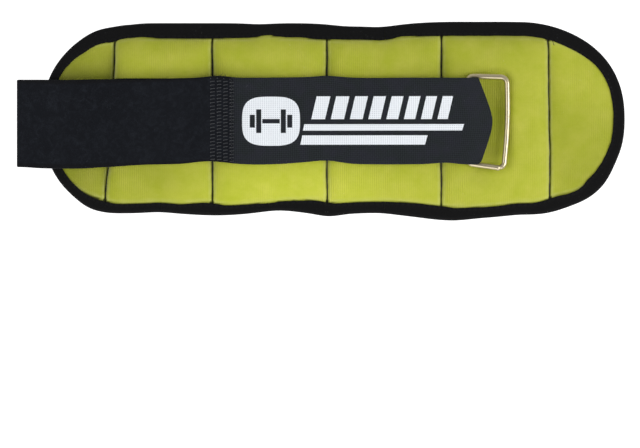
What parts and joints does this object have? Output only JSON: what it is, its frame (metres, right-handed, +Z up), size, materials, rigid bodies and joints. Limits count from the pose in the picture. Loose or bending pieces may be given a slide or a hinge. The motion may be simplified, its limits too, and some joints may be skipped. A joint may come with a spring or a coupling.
{
  "type": "ankle cuff weight",
  "caption": "Soft ankle cuff weight with filled pockets, bound edges, a hook and loop strap and a wire ring, lying flat with its strap closed.",
  "frame": {"origin": "middle of the overall box, on the surface the cuff lies on", "axes": "+X along the cuff towards the ring end, +Y across it, +Z up out of the face"},
  "size_m": [0.3632, 0.1152, 0.0218],
  "materials": {
    "green_knit": "matte",
    "back_knit": "matte",
    "binding_tape": "matte",
    "pouch_cloth": "matte",
    "iron_shot": "matte",
    "loop_webbing": "matte",
    "hook_webbing": "matte",
    "thread": "satin",
    "nickel_wire": "polished"
  },
  "bodies": {
    "pocket_2": {"face_panel_pocket_2": "green_knit", "back_panel_pocket_2": "back_knit", "inner_pouch_2": "pouch_cloth", "shot_fill_2": "iron_shot", "edge_binding_upper_pocket_2": "binding_tape", "edge_binding_lower_pocket_2": "binding_tape", "seam_thread_2": "thread", "face_strap_pocket_2": "loop_webbing"},
    "pocket_1": {"face_panel_pocket_1": "green_knit", "back_panel_pocket_1": "back_knit", "inner_pouch_1": "pouch_cloth", "shot_fill_1": "iron_shot", "edge_binding_upper_pocket_1": "binding_tape", "edge_binding_lower_pocket_1": "binding_tape", "seam_thread_1": "thread", "face_strap_pocket_1": "loop_webbing"},
    "flap_left": {"face_panel_flap_left": "green_knit", "back_panel_flap_left": "back_knit", "edge_binding_left_end": "binding_tape", "face_strap_flap_left": "loop_webbing"},
    "free_strap": {"free_strap": "loop_webbing", "tip_webbing_sewn_end": "hook_webbing", "join_stitch_row_1": "thread", "join_stitch_row_2": "thread", "join_stitch_row_3": "thread", "join_stitch_row_4": "thread"},
    "strap_tip": {"tip_webbing": "hook_webbing", "hook_pad": "hook_webbing"},
    "pocket_3": {"face_panel_pocket_3": "green_knit", "back_panel_pocket_3": "back_knit", "inner_pouch_3": "pouch_cloth", "shot_fill_3": "iron_shot", "edge_binding_upper_pocket_3": "binding_tape", "edge_binding_lower_pocket_3": "binding_tape", "seam_thread_3": "thread", "face_strap_pocket_3": "loop_webbing"},
    "pocket_4": {"face_panel_pocket_4": "green_knit", "back_panel_pocket_4": "back_knit", "inner_pouch_4": "pouch_cloth", "shot_fill_4": "iron_shot", "edge_binding_upper_pocket_4": "binding_tape", "edge_binding_lower_pocket_4": "binding_tape", "seam_thread_4": "thread", "ring_tab": "loop_webbing", "ring_tab_thread": "thread"},
    "ring": {"ring": "nickel_wire"},
    "flap_right": {"face_panel_flap_right": "green_knit", "back_panel_flap_right": "back_knit", "edge_binding_right_end": "binding_tape", "seam_thread_5": "thread"}
  },
  "joints": [
    {"name": "seam_1", "type": "hinge", "parent": "pocket_1", "child": "flap_left", "pos_m": [-0.1266, 0, 0], "axis": [-0.0512, -0.9987, 0], "range_deg": [0, 60]},
    {"name": "seam_2", "type": "hinge", "parent": "pocket_2", "child": "pocket_1", "pos_m": [-0.0648, 0, 0], "axis": [0, -1, 0], "range_deg": [0, 60]},
    {"name": "seam_3", "type": "hinge", "parent": "pocket_2", "child": "pocket_3", "pos_m": [0.0039, 0, 0], "axis": [0, 1, 0], "range_deg": [0, 60]},
    {"name": "seam_4", "type": "hinge", "parent": "pocket_3", "child": "pocket_4", "pos_m": [0.0724, 0, 0], "axis": [0, 1, 0], "range_deg": [0, 60]},
    {"name": "seam_5", "type": "hinge", "parent": "pocket_4", "child": "flap_right", "pos_m": [0.1372, 0, 0], "axis": [-0.0077, 1, 0], "range_deg": [0, 60]},
    {"name": "ring_swing", "type": "hinge", "parent": "pocket_4", "child": "ring", "pos_m": [0.0876, 0, 0.01516], "axis": [0, -1, 0], "range_deg": [0, 150]},
    {"name": "strap_fold", "type": "hinge", "parent": "flap_left", "child": "free_strap", "pos_m": [-0.1817, 0, 0.0082], "axis": [0, -1, 0], "range_deg": [0, 176]},
    {"name": "strap_tip_peel", "type": "hinge", "parent": "free_strap", "child": "strap_tip", "pos_m": [-0.053, 0, 0.0188], "axis": [0, 1, 0], "range_deg": [-150, 0]}
  ]
}
